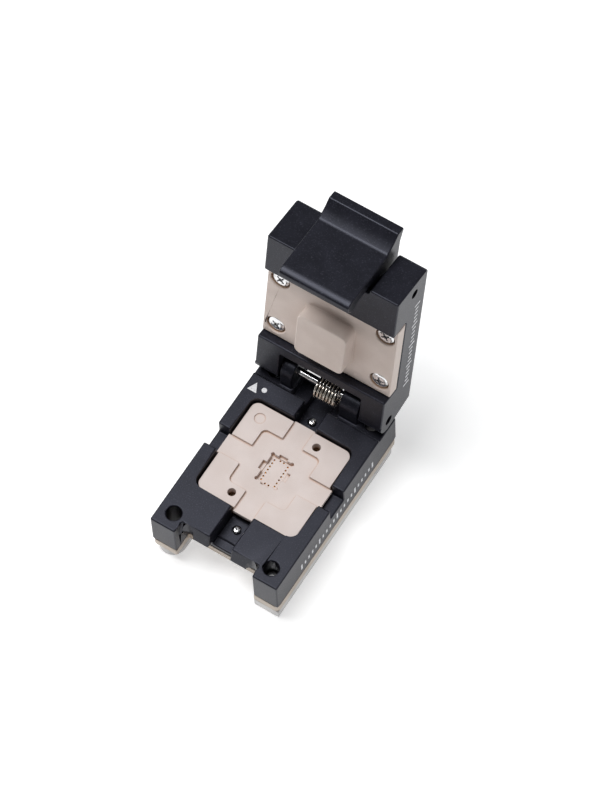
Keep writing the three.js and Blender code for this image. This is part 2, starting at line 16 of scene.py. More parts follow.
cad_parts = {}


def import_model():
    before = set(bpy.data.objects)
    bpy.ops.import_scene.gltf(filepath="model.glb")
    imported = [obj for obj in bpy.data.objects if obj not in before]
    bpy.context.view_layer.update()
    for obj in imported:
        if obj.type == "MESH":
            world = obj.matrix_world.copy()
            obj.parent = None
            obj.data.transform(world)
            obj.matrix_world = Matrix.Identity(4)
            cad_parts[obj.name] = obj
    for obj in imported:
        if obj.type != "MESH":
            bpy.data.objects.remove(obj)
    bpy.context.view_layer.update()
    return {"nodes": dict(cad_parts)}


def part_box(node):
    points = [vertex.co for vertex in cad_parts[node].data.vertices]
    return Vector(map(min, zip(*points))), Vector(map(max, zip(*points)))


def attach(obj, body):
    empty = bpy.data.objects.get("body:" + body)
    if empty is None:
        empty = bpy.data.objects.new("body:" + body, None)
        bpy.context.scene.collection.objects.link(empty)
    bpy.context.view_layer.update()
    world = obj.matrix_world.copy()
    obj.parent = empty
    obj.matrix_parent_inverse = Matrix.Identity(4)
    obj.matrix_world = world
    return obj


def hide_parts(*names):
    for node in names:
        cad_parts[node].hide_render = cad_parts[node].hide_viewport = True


LOG = logging.getLogger("socket")
MM = 0.001
BASE_HALF_LENGTH = 13.5
MERGE_M = 2e-7  # points closer than this are one point
SLIVER_M = 6e-6  # edges shorter than this are dropped
LEAST_PULL = 1e-12  # keeps a face of no area in the sum of directions
WAVE_RATE = 20  # the wave texture's own factor on distance

Number = float | int
Point = tuple[float, float, float]
Colour = tuple[float, float, float]
Outline = Sequence[tuple[float, float]]


class Body(Enum):
    """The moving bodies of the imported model."""

    BASE = "base"
    NEST = "nest"
    CONTACTS = "contacts"
    LID = "lid"
    LATCH = "latch_lever"


class Slot(Enum):
    """The record's material slots."""

    BLACK = "black_polymer"
    CREAM = "cream_polymer"
    TAN = "tan_polymer"
    MILKY = "milky_polymer"
    STEEL = "steel"
    GOLD = "gold_contact"


# ----------------------------------------------------------------------------
# Shader writing
# ----------------------------------------------------------------------------


class Wire:
    """A shader socket that takes part in arithmetic."""

    def __init__(self, recipe: "Recipe", socket: bpy.types.NodeSocket) -> None:
        """Keeps the recipe that owns the node tree and the wrapped output socket."""
        self.recipe = recipe
        self.socket = socket

    def _math(self, operation: str, left: "Wire | Number", right: "Wire | Number") -> "Wire":
        """Adds one Math node.

        Args:
            operation: Blender's name of the operation.
            left: first operand.
            right: second operand.

        Returns:
            The result as a new wire.
        """
        return self.recipe.add("ShaderNodeMath", {"operation": operation}, {0: left, 1: right})

    def __add__(self, other: "Wire | Number") -> "Wire":
        """Sum."""
        return self._math("ADD", self, other)

    __radd__ = __add__

    def __mul__(self, other: "Wire | Number") -> "Wire":
        """Product."""
        return self._math("MULTIPLY", self, other)

    __rmul__ = __mul__


class Recipe:
    """Builds one material's node tree around a Principled shader."""

    def __init__(self, name: str) -> None:
        """Creates the material and keeps its shader."""
        self.material = bpy.data.materials.new(name)
        self.material.use_nodes = True
        self.tree = self.material.node_tree
        self.shader = self.tree.nodes["Principled BSDF"]

    def add(
        self,
        kind: str,
        settings: dict[str, Any] | None = None,
        inputs: dict[str | int, Any] | None = None,
        output: str | int = 0,
    ) -> Wire:
        """Adds any node.

        Args:
            kind: the node's type.
            settings: attributes set before the sockets.
            inputs: socket values or wires, by name or index.
            output: the output socket wanted.

        Returns:
            The chosen output as a wire.
        """
        node = self.tree.nodes.new(kind)
        for key, value in (settings or {}).items():
            setattr(node, key, value)
        for key, value in (inputs or {}).items():
            self.link(value, node.inputs[key])
        return Wire(self, node.outputs[output])

    def link(self, value: Any, socket: bpy.types.NodeSocket) -> None:
        """Feeds a socket with a wire or a plain value."""
        if isinstance(value, Wire):
            self.tree.links.new(value.socket, socket)
        elif isinstance(value, tuple) and len(value) == 3 and socket.type == "RGBA":
            socket.default_value = (*value, 1.0)
        else:
            socket.default_value = value

    def feed(self, **values: Any) -> None:
        """Feeds the shader's own sockets, named with underscores for spaces, with wires or plain values."""
        for key, value in values.items():
            self.link(value, self.shader.inputs[key.replace("_", " ")])

    def place(self) -> Wire:
        """Object coordinates."""
        return self.add("ShaderNodeTexCoord", output="Object")

    def noise(self, place: Wire, size_mm: float, detail: float = 2.0, roughness: float = 0.5) -> Wire:
        """Noise whose blobs measure about size_mm.

        Args:
            place: coordinates in metres.
            size_mm: rough size of one blob.
            detail: octaves.
            roughness: strength of the fine octaves.

        Returns:
            Values about 0.5.
        """
        sizes = {"Scale": 1.0 / (size_mm * MM), "Detail": detail, "Roughness": roughness}
        return self.add("ShaderNodeTexNoise", {}, {"Vector": place, **sizes})

    def smooth(self, value: Wire, low: float, high: float) -> Wire:
        """Smooth step from 0 at low to 1 at high."""
        return self.add(
            "ShaderNodeMapRange",
            {"interpolation_type": "SMOOTHSTEP"},
            {"Value": value, "From Min": low, "From Max": high},
        )

    def mix(self, factor: Wire, first: Any, second: Any) -> Wire:
        """Mixes two colours; the Mix node repeats its sockets' names, so they go by index."""
        return self.add("ShaderNodeMix", {"data_type": "RGBA"}, {0: factor, 6: first, 7: second}, 2)

    def bump(self, height: Wire, depth_mm: float, strength: float = 1.0) -> Wire:
        """Bump from a height field.

        Args:
            height: values from 0 to 1.
            depth_mm: height of a full step.
            strength: how much of it is used.

        Returns:
            The bent normal.
        """
        sizes = {"Distance": depth_mm * MM, "Strength": strength}
        return self.add("ShaderNodeBump", {}, {"Height": height, **sizes}, "Normal")


@dataclass(frozen=True)
class BlackPolymer:
    """Glass filled black moulding with a fine pale fleck."""

    name: str = "black_polymer"
    dark: Colour = (0.004, 0.004, 0.0065)
    light: Colour = (0.010, 0.010, 0.0155)
    fleck: Colour = (0.06, 0.06, 0.08)
    sheen: Colour = (0.8, 0.83, 1.0)
    cloud_mm: float = 2.2
    grain_mm: float = 0.07
    fleck_mm: float = 0.16
    fleck_share: float = 0.38
    rough: float = 0.24
    relief_mm: float = 0.012

    def build(self) -> bpy.types.Material:
        """Makes the material."""
        r = Recipe(self.name)
        place = r.place()
        cloud = r.noise(place, self.cloud_mm, 3.0)
        grain = r.noise(place, self.grain_mm, 3.0, 0.7)
        flecks = r.smooth(r.noise(place, self.fleck_mm, 1.0, 0.6), 0.57, 0.72)
        ground = r.mix(r.smooth(cloud * 0.5 + grain * 0.5, 0.35, 0.65), self.dark, self.light)
        r.feed(
            Base_Color=r.mix(flecks * self.fleck_share, ground, self.fleck),
            Roughness=self.rough + 0.18 * grain + 0.06 * cloud,
            Normal=r.bump(grain + 0.5 * flecks, self.relief_mm, 0.5),
            Specular_IOR_Level=0.34,
            Specular_Tint=self.sheen,
        )
        return r.material


@dataclass(frozen=True)
class MachinedPolymer:
    """Machined engineering plastic with painted warm shade in its inner corners."""

    name: str
    base: Colour
    shade: Colour
    # corner: colour of the painted shade laid into inner corners
    corner: Colour
    cloud_mm: float = 3.0
    grain_mm: float = 0.09
    painted_shade_mm: float = 0.32
    cutter_mm: float = 0.14
    rough: float = 0.42
    relief_mm: float = 0.006

    def build(self) -> bpy.types.Material:
        """Makes the material."""
        r = Recipe(self.name)
        place = r.place()
        cloud = r.noise(place, self.cloud_mm, 2.0)
        grain = r.noise(place, self.grain_mm, 3.0, 0.65)
        rate = 1.0 / (self.cutter_mm * MM * WAVE_RATE)
        strokes = r.add(
            "ShaderNodeTexWave",
            {"wave_type": "RINGS", "rings_direction": "Z", "wave_profile": "SIN"},
            {"Vector": place, "Scale": rate, "Distortion": 0.6, "Detail": 1.0},
            "Fac",
        )
        ground = r.mix(r.smooth(cloud * 0.6 + grain * 0.4, 0.36, 0.66), self.shade, self.base)
        # Ambient occlusion masks the inner corners, where the corner colour is painted in as shade.
        corner_shade_ao = r.add(
            "ShaderNodeAmbientOcclusion", {"samples": 8}, {"Distance": self.painted_shade_mm * MM}, "AO"
        )
        r.feed(
            Base_Color=r.mix(r.smooth(corner_shade_ao, 0.42, 0.98), self.corner, ground),
            Roughness=self.rough + 0.14 * grain,
            Normal=r.bump(grain * 0.6 + strokes * 0.4, self.relief_mm, 0.4),
            Specular_IOR_Level=0.42,
        )
        return r.material


@dataclass(frozen=True)
class MilkyPolymer:
    """Cloudy milky guard plate."""

    name: str = "milky_polymer"
    base: Colour = (0.70, 0.68, 0.67)
    shade: Colour = (0.48, 0.465, 0.46)
    cloud_mm: float = 3.2
    ripple_mm: float = 0.4

    def build(self) -> bpy.types.Material:
        """Makes the material."""
        r = Recipe(self.name)
        place = r.place()
        cloud = r.noise(place, self.cloud_mm, 2.0)
        r.feed(
            Base_Color=r.mix(r.smooth(cloud, 0.25, 0.75), self.shade, self.base),
            Roughness=0.2 + 0.2 * cloud,
            Normal=r.bump(r.noise(place, self.ripple_mm, 2.0), 0.01, 0.4),
            Specular_IOR_Level=0.6,
        )
        return r.material


@dataclass(frozen=True)
class BrightMetal:
    """Drawn or turned bright metal with fine draw marks and a little tarnish."""

    name: str
    base: Colour
    tarnish: Colour
    rough: float = 0.16
    cloud_mm: float = 0.5
    scratch_mm: float = 0.05

    def build(self) -> bpy.types.Material:
        """Makes the material."""
        r = Recipe(self.name)
        place = r.place()
        cloud = r.noise(place, self.cloud_mm, 3.0)
        scratch = r.noise(place, self.scratch_mm, 3.0, 0.7)
        r.feed(
            Base_Color=r.mix(r.smooth(cloud, 0.42, 0.72), self.base, self.tarnish),
            Roughness=self.rough + 0.14 * scratch,
            Normal=r.bump(scratch, 0.002, 0.15),
            Metallic=1.0,
        )
        return r.material


@dataclass(frozen=True)
class WhiteInk:
    """Thin printed white ink, a little worn."""

    name: str = "white_ink"
    base: Colour = (0.83, 0.83, 0.85)
    worn: Colour = (0.4, 0.4, 0.43)
    wear_mm: float = 0.18

    def build(self) -> bpy.types.Material:
        """Makes the material."""
        r = Recipe(self.name)
        wear = r.smooth(r.noise(r.place(), self.wear_mm, 3.0, 0.7), 0.5, 0.75)
        r.feed(Base_Color=r.mix(wear, self.base, self.worn), Roughness=0.55 + 0.2 * wear)
        return r.material


class Finish(Enum):
    """Every finish on the socket."""

    BLACK = BlackPolymer()
    # Each corner colour below is painted warm shade for inner corners.
    CREAM = MachinedPolymer(
        "cream_polymer", base=(0.77, 0.675, 0.64), shade=(0.71, 0.61, 0.57), corner=(0.52, 0.31, 0.19)
    )
    # A darker copy of the nest's cream for the pin plate: painted shade.
    PIN_PLATE = MachinedPolymer(
        "pin_plate_polymer", base=(0.66, 0.57, 0.49), shade=(0.54, 0.46, 0.385), corner=(0.36, 0.24, 0.15)
    )
    TAN = MachinedPolymer(
        "tan_polymer", base=(0.77, 0.66, 0.60), shade=(0.70, 0.59, 0.53), corner=(0.42, 0.25, 0.15)
    )
    MILKY = MilkyPolymer()
    STEEL = BrightMetal("bright_steel", (0.80, 0.80, 0.81), (0.55, 0.54, 0.53), 0.1)
    # Steel painted dark brown: painted shade for the screws that sit deep in the nest's holes.
    SOCKET_STEEL = BrightMetal("blackened_steel", (0.2, 0.13, 0.08), (0.08, 0.05, 0.03), 0.2)
    SPRING = BrightMetal("spring_wire", (0.82, 0.77, 0.70), (0.55, 0.44, 0.34), 0.12)
    GOLD = BrightMetal("gold_plate", (0.93, 0.66, 0.28), (0.62, 0.38, 0.14))
    INK = WhiteInk()


class Finishes:
    """Builds each finish once and hands it out."""

    def __init__(self) -> None:
        """Starts with nothing built."""
        self._made: dict[Finish, bpy.types.Material] = {}

    def get(self, finish: Finish) -> bpy.types.Material:
        """Returns the finish's material, built at the first call."""
        if finish not in self._made:
            self._made[finish] = finish.value.build()
        return self._made[finish]


# ----------------------------------------------------------------------------
# Mesh helpers
# ----------------------------------------------------------------------------


def link_mesh(name: str, mesh: bpy.types.Mesh) -> bpy.types.Object:
    """Puts a mesh in the scene as an object at the origin.

    Args:
        name: the object's name.
        mesh: its mesh, in the model's frame.

    Returns:
        The new object.
    """
    obj = bpy.data.objects.new(name, mesh)
    bpy.context.scene.collection.objects.link(obj)
    return obj


def soften(mesh: bpy.types.Mesh, angle_deg: float = 32.0) -> None:
    """Shades a mesh smooth except over edges sharper than an angle."""
    mesh.shade_smooth()
    mesh.set_sharp_from_angle(angle=math.radians(angle_deg))


def steady_normals(mesh: bpy.types.Mesh, fold_deg: float = 62.0) -> None:
    """Lets the broad faces keep their own direction and rolls the shading over the narrow ones.

    Args:
        mesh: the mesh that is shaded.
        fold_deg: faces that meet at more than this angle don't share their shading.
    """
    soften(mesh, fold_deg)
    limit = math.cos(math.radians(fold_deg))
    around: list[list[tuple[Vector, float]]] = [[] for _ in mesh.vertices]
    for face in mesh.polygons:
        pull = (face.area / MM**2) ** 2 + LEAST_PULL
        for corner in face.vertices:
            around[corner].append((face.normal.copy(), pull))
    normals = []
    for face in mesh.polygons:
        for corner in face.vertices:
            total = Vector((0.0, 0.0, 0.0))
            for normal, pull in around[corner]:
                if normal.dot(face.normal) > limit:
                    total += normal * pull
            normals.append(total.normalized() if total.length > 0 else face.normal.copy())
    mesh.normals_split_custom_set(normals)


def dress(
    obj: bpy.types.Object,
    material: bpy.types.Material,
    body: Body,
    replaced: Iterable[str] = (),
) -> bpy.types.Object:
    """Gives a finished piece its material, body and replaced nodes.

    Args:
        obj: the piece.
        material: its only material.
        body: the body it rides on.
        replaced: the model's nodes that it stands for.

    Returns:
        The same piece.
    """
    obj.data.materials.clear()
    obj.data.materials.append(material)
    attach(obj, body.value)
    nodes = list(replaced)
    if nodes:
        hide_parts(*nodes)
    return obj


class Moulding:
    """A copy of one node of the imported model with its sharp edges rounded."""

    FLAT_DEG = 0.8
    FOLD_DEG = 38.0
    SEGMENTS = 2
    OLD_SHADING = {"custom_normal", "sharp_edge", "sharp_face"}

    def __init__(self, node: bpy.types.Object, name: str, radius_mm: float, shortest_mm: float) -> None:
        """Keeps the node to copy, the edge radius and the length under which an edge stays sharp."""
        self.node = node
        self.name = name
        self.radius = radius_mm * MM
        self.shortest = shortest_mm * MM

    def build(self) -> bpy.types.Object:
        """Merges the copy, clears its flat faces and rounds its edges.

        Returns:
            The new object, with its bevel applied.
        """
        mesh = self.node.data.copy()
        mesh.name = self.name
        bm = bmesh.new()
        bm.from_mesh(mesh)
        bmesh.ops.remove_doubles(bm, verts=bm.verts, dist=MERGE_M)
        flat = math.radians(self.FLAT_DEG)
        bmesh.ops.dissolve_limit(bm, angle_limit=flat, verts=bm.verts, edges=bm.edges, delimit={"NORMAL"})
        bmesh.ops.dissolve_degenerate(bm, edges=bm.edges, dist=SLIVER_M)
        weight = bm.edges.layers.float.new("bevel_weight_edge")
        for edge in bm.edges:
            folded = len(edge.link_faces) == 2 and edge.calc_face_angle() > math.radians(self.FOLD_DEG)
            if folded and edge.calc_length() > self.shortest:
                edge[weight] = 1.0
        bm.to_mesh(mesh)
        bm.free()
        for attribute in list(mesh.attributes):
            if attribute.name in self.OLD_SHADING:
                mesh.attributes.remove(attribute)
        obj = link_mesh(self.name, mesh)
        bevel = obj.modifiers.new("edges", "BEVEL")
        bevel.width = self.radius
        bevel.segments = self.SEGMENTS
        bevel.limit_method = "WEIGHT"
        bevel.use_clamp_overlap = False
        bevel.miter_outer = "MITER_ARC"
        obj.data = bpy.data.meshes.new_from_object(obj.evaluated_get(bpy.context.evaluated_depsgraph_get()))
        obj.modifiers.clear()
        steady_normals(obj.data)
        obj.data.name = self.name
        return obj


class Growth:
    """A Geometry Nodes tree with named inputs that is turned into a plain mesh."""

    def __init__(self, name: str) -> None:
        """Creates the empty tree."""
        self.name = name
        self.tree = bpy.data.node_groups.new(name, "GeometryNodeTree")
        self.tree.interface.new_socket("Geometry", in_out="OUTPUT", socket_type="NodeSocketGeometry")
        self.entry = self.tree.nodes.new("NodeGroupInput")
        self.exit = self.tree.nodes.new("NodeGroupOutput")
        self.values: dict[str, Any] = {}

    def size(self, name: str, value: Any, kind: str = "NodeSocketFloat") -> bpy.types.NodeSocket:
        """Adds a named input and returns the socket that carries it.

        Args:
            name: the input's name.
            value: its value on the modifier.
            kind: its socket type.

        Returns:
            The input's socket inside the tree.
        """
        item = self.tree.interface.new_socket(name, in_out="INPUT", socket_type=kind)
        self.values[item.identifier] = value
        return self.entry.outputs[name]

    def add(
        self,
        kind: str,
        settings: dict[str, Any] | None = None,
        inputs: dict[str | int, Any] | None = None,
        output: str | int = 0,
    ) -> bpy.types.NodeSocket:
        """Adds any node to the tree.

        Args:
            kind: the node's type.
            settings: attributes set before the sockets.
            inputs: values or sockets, by name or index; a list feeds a multi-input socket.
            output: the output socket wanted.

        Returns:
            The chosen output socket.
        """
        node = self.tree.nodes.new(kind)
        for key, value in (settings or {}).items():
            setattr(node, key, value)
        for key, value in (inputs or {}).items():
            for single in value if isinstance(value, list) else [value]:
                if isinstance(single, bpy.types.NodeSocket):
                    self.tree.links.new(single, node.inputs[key])
                else:
                    node.inputs[key].default_value = single
        return node.outputs[output]

    def mesh(self, geometry: bpy.types.NodeSocket, material: bpy.types.Material) -> bpy.types.Mesh:
        """Ends the tree and evaluates it.

        Args:
            geometry: the last geometry socket.
            material: the material set on all of it.

        Returns:
            A plain mesh.
        """
        real = self.add("GeometryNodeRealizeInstances", {}, {"Geometry": geometry})
        painted = self.add("GeometryNodeSetMaterial", {}, {"Geometry": real, "Material": material})
        self.tree.links.new(painted, self.exit.inputs[0])
        host = link_mesh(self.name + "_host", bpy.data.meshes.new(self.name + "_host"))
        modifier = host.modifiers.new("growth", "NODES")
        modifier.node_group = self.tree
        for identifier, value in self.values.items():
            modifier[identifier] = value
        host.update_tag()
        evaluated = host.evaluated_get(bpy.context.evaluated_depsgraph_get())
        mesh = bpy.data.meshes.new_from_object(evaluated)
        mesh.name = self.name
        bpy.data.objects.remove(host)
        return mesh


def lathe(profile: Outline, sides: int) -> bmesh.types.BMesh:
    """Turns a profile of (radius, height) in millimetres about Z.

    Args:
        profile: points from the lower axis point to the upper one.
        sides: steps round the axis.

    Returns:
        A closed bmesh in metres.
    """
    bm = bmesh.new()
    rings: list[list[bmesh.types.BMVert]] = []
    for radius, height in profile:
        if radius < 1e-9:
            rings.append([bm.verts.new((0, 0, height * MM))])
            continue
        ring = []
        for i in range(sides):
            angle = 2 * math.pi * i / sides
            place = (radius * MM * math.cos(angle), radius * MM * math.sin(angle), height * MM)
            ring.append(bm.verts.new(place))
        rings.append(ring)
    for low, high in zip(rings, rings[1:]):
        for i in range(sides):
            j = (i + 1) % sides
            if len(low) == 1:
                bm.faces.new((low[0], high[j], high[i]))
            elif len(high) == 1:
                bm.faces.new((low[i], low[j], high[0]))
            else:
                bm.faces.new((low[i], low[j], high[j], high[i]))
    bmesh.ops.recalc_face_normals(bm, faces=bm.faces)
    return bm


def mesh_of(bm: bmesh.types.BMesh, name: str) -> bpy.types.Mesh:
    """Turns a bmesh into a mesh and frees it."""
    mesh = bpy.data.meshes.new(name)
    bm.to_mesh(mesh)
    bm.free()
    return mesh


def carve(obj: bpy.types.Object, cutters: Sequence[bpy.types.Object]) -> None:
    """Cuts tools out of an object and deletes the tools.

    Args:
        obj: the object that is cut; its mesh is replaced.
        cutters: closed tool objects.
    """
    for tool in cutters:
        modifier = obj.modifiers.new("cut", "BOOLEAN")
        modifier.operation = "DIFFERENCE"
        modifier.solver = "EXACT"
        modifier.object = tool
    done = bpy.data.meshes.new_from_object(obj.evaluated_get(bpy.context.evaluated_depsgraph_get()))
    obj.modifiers.clear()
    obj.data = done
    for tool in cutters:
        bpy.data.objects.remove(tool)


def block(name: str, low: Point, high: Point) -> bpy.types.Object:
    """Box tool between two corners in millimetres."""
    bm = bmesh.new()
    bmesh.ops.create_cube(bm, size=1.0)
    size = [(b - a) * MM for a, b in zip(low, high)]
    centre = [(a + b) / 2 * MM for a, b in zip(low, high)]
    bm.transform(Matrix.Translation(centre) @ Matrix.Diagonal((*size, 1.0)))
    return link_mesh(name, mesh_of(bm, name))


# ----------------------------------------------------------------------------
# Where things are
# ----------------------------------------------------------------------------


@dataclass(frozen=True)
class Layout:
    """Places shared by several sub-assemblies, in millimetres, about the centre of the base."""

    shift_y: float
    base_top: float = 8.0
    chip_y: float = 0.1
    hinge_y: float = 11.85
    hinge_z: float = 9.95
    open_deg: float = 100.0

    def at(self, x: float, y: float, z: float) -> Vector:
        """A place on the base, in metres in the model's frame."""
        return Vector((x, y + self.shift_y, z)) * MM

    def lid_turn(self) -> Matrix:
        """Matrix that swings a piece drawn on the closed lid, in metres, to the open lid."""
        hinge = self.at(0, self.hinge_y, self.hinge_z)
        turn = Matrix.Rotation(math.radians(-self.open_deg), 4, "X")
        return Matrix.Translation(hinge) @ turn @ Matrix.Translation(-hinge)


@dataclass
class Workshop:
    """What every sub-assembly needs to build and dress its pieces."""

    nodes: dict[str, bpy.types.Object]
    layout: Layout
    finishes: Finishes = field(default_factory=Finishes)

    def moulding(
        self,
        node: str,
        piece: str,
        finish: Finish,
        body: Body,
        slot: Slot,
        radius_mm: float,
        shortest_mm: float = 0.105,
    ) -> bpy.types.Object:
        """Copies a node with rounded edges and dresses the copy.

        Args:
            node: the node that the copy stands for.
            piece: the copy's name.
            finish: its finish.
            body: the body it rides on.
            slot: its record slot; not used.
            radius_mm: radius of its edges.
            shortest_mm: edges shorter than this stay sharp.

        Returns:
            The dressed piece.
        """
        obj = Moulding(self.nodes[node], piece, radius_mm, shortest_mm).build()
        return dress(obj, self.finishes.get(finish), body, [node])


# ----------------------------------------------------------------------------
# Sub-assemblies
# ----------------------------------------------------------------------------


@dataclass
class BaseStack:
    """Black frame with the cream pin plate and the milky cover under it."""

    shop: Workshop
    edge_mm: float = 0.2
    shortest_mm: float = 0.26
    plate_edge_mm: float = 0.1

    def build(self) -> list[str]:
        """Builds the three layers and returns their names."""
        self.shop.moulding(
            "base_frame", "frame_body", Finish.BLACK, Body.BASE, Slot.BLACK, self.edge_mm, self.shortest_mm
        )
        self.shop.moulding(
            # The pin plate gets the darker copy of the cream, which is painted shade.
            "pin_plate", "pin_plate_body", Finish.PIN_PLATE, Body.BASE, Slot.CREAM, self.plate_edge_mm
        )
        self.shop.moulding(
            "bottom_cover", "bottom_cover_body", Finish.MILKY, Body.BASE, Slot.MILKY, self.plate_edge_mm
        )
        return ["frame_body", "pin_plate_body", "bottom_cover_body"]


@dataclass
class Nest:
    """Floating cream nest."""

    shop: Workshop
    edge_mm: float = 0.05

    def build(self) -> list[str]:
        """Builds the nest and returns its name."""
        self.shop.moulding(
            "floating_nest", "nest_body", Finish.CREAM, Body.NEST, Slot.CREAM, self.edge_mm
        )
        return ["nest_body"]


@dataclass
class ContactField:
    """Rows of barrels and plungers, repeated by rule."""

    shop: Workshop
    pitch: float = 0.5
    per_side: int = 7
    per_end: int = 2
    side_x: float = 0.96
    end_y: float = 1.75
    barrel_r: float = 0.17
    barrel_low: float = 0.15
    barrel_high: float = 4.6
    tail_r: float = 0.1
    tail_tip: float = 0.08
    tail_full: float = 0.6
    shoulder: tuple[float, float] = (1.5, 1.6)
    groove: tuple[float, float, float, float] = (4.1, 4.14, 4.24, 4.28)
    groove_deep: float = 0.012
    bore_r: float = 0.125
    bore_floor: float = 3.7
    plunger_r: float = 0.1
    plunger_low: float = 4.2
    plunger_high: float = 6.1
    crown: Outline = ((1.0, 0.16), (0.75, 0.1), (0.5, 0.0), (0.25, 0.07), (0.0, 0.1))
    sides: int = 16

    def _rows(self, growth: Growth) -> bpy.types.NodeSocket:
        """Points of the two long rows and the two short rows.

        Args:
            growth: the tree being built.

        Returns:
            The joined points.
        """
        lay = self.shop.layout
        pitch = growth.size("Pitch", self.pitch * MM)
        count = growth.size("Contacts per side", self.per_side, "NodeSocketInt")
        first_y = lay.chip_y - (self.per_side - 1) / 2 * self.pitch
        lines = []
        for side in (-1, 1):
            runs = (
                (lay.at(side * self.side_x, first_y, 0), "Y", count),
                (lay.at(-self.pitch / 2, lay.chip_y + side * self.end_y, 0), "X", self.per_end),
            )
            for start, axis, many in runs:
                step = growth.add("ShaderNodeCombineXYZ", {}, {axis: pitch})
                sizes = {"Count": many, "Start Location": start, "Offset": step}
                lines.append(growth.add("GeometryNodeMeshLine", {"mode": "OFFSET"}, sizes))
        return growth.add("GeometryNodeJoinGeometry", {}, {"Geometry": lines})

    def _turned(self, name: str, profile: Outline) -> bpy.types.Object:
        """A small turned template for the rows."""
        return link_mesh(name, mesh_of(lathe(profile, self.sides), name))

    def _field(self, name: str, template: bpy.types.Object, finish: Finish) -> bpy.types.Object:
        """Repeats a template over the rows.

        Args:
            name: the piece's name.
            template: the object to repeat; it is deleted afterwards.
            finish: the piece's finish.

        Returns:
            The piece, not yet dressed.
        """
        growth = Growth(name)
        points = self._rows(growth)
        source = growth.size("Contact", template, "NodeSocketObject")
        shape = growth.add("GeometryNodeObjectInfo", {}, {"Object": source}, "Geometry")
        copies = growth.add("GeometryNodeInstanceOnPoints", {}, {"Points": points, "Instance": shape})
        mesh = growth.mesh(copies, self.shop.finishes.get(finish))
        bpy.data.objects.remove(template)
        soften(mesh, 35)
        return link_mesh(name, mesh)

    def _barrel(self) -> Outline:
        """Outline of a barrel: a thin tail, a shoulder, a crimp groove and an open bore."""
        low, high, r, tail = self.barrel_low, self.barrel_high, self.barrel_r, self.tail_r
        inner = r - self.groove_deep
        radii = (r, inner, inner, r)
        return [
            (0, low), (tail * 0.5, low), (tail * 0.9, low + self.tail_tip), (tail, self.tail_full),
            (tail, self.shoulder[0]), (r, self.shoulder[1]), *zip(radii, self.groove),
            (r, high), (self.bore_r, high), (self.bore_r, self.bore_floor), (0, self.bore_floor),
        ]

    def _plunger(self) -> Outline:
        """Outline of a plunger with a hollow crown."""
        low, high, r = self.plunger_low, self.plunger_high, self.plunger_r
        return [(0, low), (r, low), *((r * share, high - drop) for share, drop in self.crown)]

    def build(self) -> list[str]:
        """Builds both fields and returns their names."""
        gold = self.shop.finishes.get(Finish.GOLD)
        total = 2 * self.per_side + 2 * self.per_end
        rows = (("barrel", self._barrel(), Body.BASE), ("plunger", self._plunger(), Body.CONTACTS))
        names = []
        for part, outline, body in rows:
            template = self._turned(f"{part}_template", outline)
            piece = self._field(f"contact_{part}s", template, Finish.GOLD)
            dress(piece, gold, body, [f"contact_{part}_{i + 1:02d}" for i in range(total)])
            names.append(piece.name)
        return names


@dataclass
class Coil:
    """A wire coil with optional straight legs at its ends."""

    name: str
    radius: float
    wire: float
    turns: float
    length: float
    steps_per_turn: int = 28
    wire_sides: int = 12

    def mesh(
        self, material: bpy.types.Material, legs: Sequence[tuple[Vector, Vector]] = ()
    ) -> bpy.types.Mesh:
        """Grows the coil along Z about the origin.

        Args:
            material: the wire's finish.
            legs: start and end of each straight leg, in metres.

        Returns:
            A plain mesh.
        """
        growth = Growth(self.name)
        turns = growth.size("Turns", self.turns)
        radius = growth.size("Coil radius", self.radius * MM)
        length = growth.size("Coil length", self.length * MM)
        wire = growth.size("Wire radius", self.wire * MM)
        spiral = growth.add(
            "GeometryNodeCurveSpiral",
            {},
            {
                "Resolution": self.steps_per_turn,
                "Rotations": turns,
                "Start Radius": radius,
                "End Radius": radius,
                "Height": length,
                "Reverse": True,
            },
        )
        curves = [spiral]
        for start, end in legs:
            curves.append(growth.add("GeometryNodeCurvePrimitiveLine", {}, {"Start": start, "End": end}))
        joined = growth.add("GeometryNodeJoinGeometry", {}, {"Geometry": curves})
        ring = growth.add(
            "GeometryNodeCurvePrimitiveCircle", {}, {"Resolution": self.wire_sides, "Radius": wire}
        )
        tube = growth.add(
            "GeometryNodeCurveToMesh", {}, {"Curve": joined, "Profile Curve": ring, "Fill Caps": True}
        )
        mesh = growth.mesh(tube, material)
        soften(mesh, 50)
        return mesh


